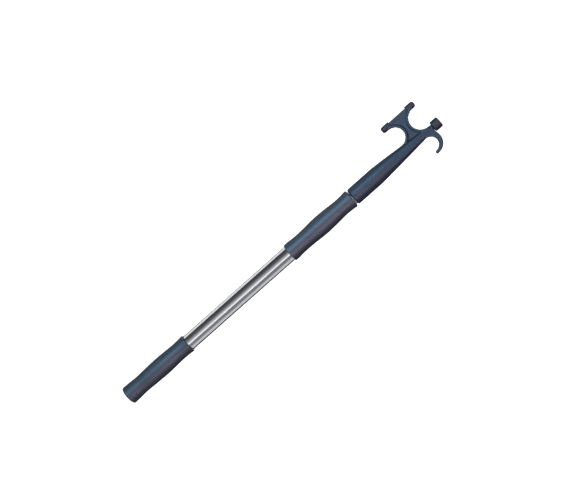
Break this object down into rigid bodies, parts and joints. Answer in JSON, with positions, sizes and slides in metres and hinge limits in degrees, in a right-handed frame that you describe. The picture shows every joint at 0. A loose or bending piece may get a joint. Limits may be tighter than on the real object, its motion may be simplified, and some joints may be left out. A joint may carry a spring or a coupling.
{
  "type": "boat hook",
  "caption": "Telescoping twist-lock boat hook: two-section aluminium pole with two waisted grips and a moulded head with a cross bar, two notches, a hook and a soft tip.",
  "frame": {"origin": "centre of the butt grip's flat end face, on the pole's axis", "axes": "+X along the pole from the butt to the hook head, +Y from the pole towards the head's cross bar, +Z square to the head's plane; the pole lies on its side, collapsed"},
  "size_m": [0.7085, 0.095, 0.0342],
  "materials": {
    "pole_tube": "drawn and clear anodised",
    "grip": "moulded, fine matt grain",
    "head": "moulded, satin",
    "bumper": "soft, matt",
    "collar": "moulded",
    "lock_plastic": "moulded, natural",
    "cam_plastic": "moulded, ribbed",
    "seal_rubber": "smooth",
    "steel": "stainless, passivated",
    "foam": "closed-cell foam"
  },
  "bodies": {
    "outer_pole": {"outer_tube": "pole_tube", "butt_grip": "grip", "butt_bung": "lock_plastic", "butt_seal": "seal_rubber", "fore_grip": "grip", "guide_collar": "collar"},
    "glide": {"glide_ring": "lock_plastic"},
    "inner_pole": {"inner_tube": "pole_tube", "cam_plug": "lock_plastic", "plug_pin": "steel", "cam_washer": "steel", "cam_screw": "steel", "float_core": "foam", "head_bung": "lock_plastic", "head_seal": "seal_rubber", "hook_head": "head", "head_screw": "steel", "tip_bumper": "bumper", "rear_bar_cap": "bumper", "front_bar_cap": "bumper"},
    "cam": {"cam_ring": "cam_plastic"}
  },
  "joints": [
    {"name": "telescope", "type": "slide", "parent": "outer_pole", "child": "glide", "axis": [1, 0, 0], "range_m": [0, 0.455]},
    {"name": "twist", "type": "hinge", "parent": "glide", "child": "inner_pole", "pos_m": [0.052, 0, 0], "axis": [1, 0, 0], "range_deg": [-35, 35]},
    {"name": "cam_turn", "type": "hinge", "parent": "inner_pole", "child": "cam", "pos_m": [0.0406, 0.0008, 0], "axis": [1, 0, 0], "range_deg": [-35, 35]}
  ],
  "couplings": [
    {"joint": "cam_turn", "follows": "twist", "ratio": -1}
  ]
}
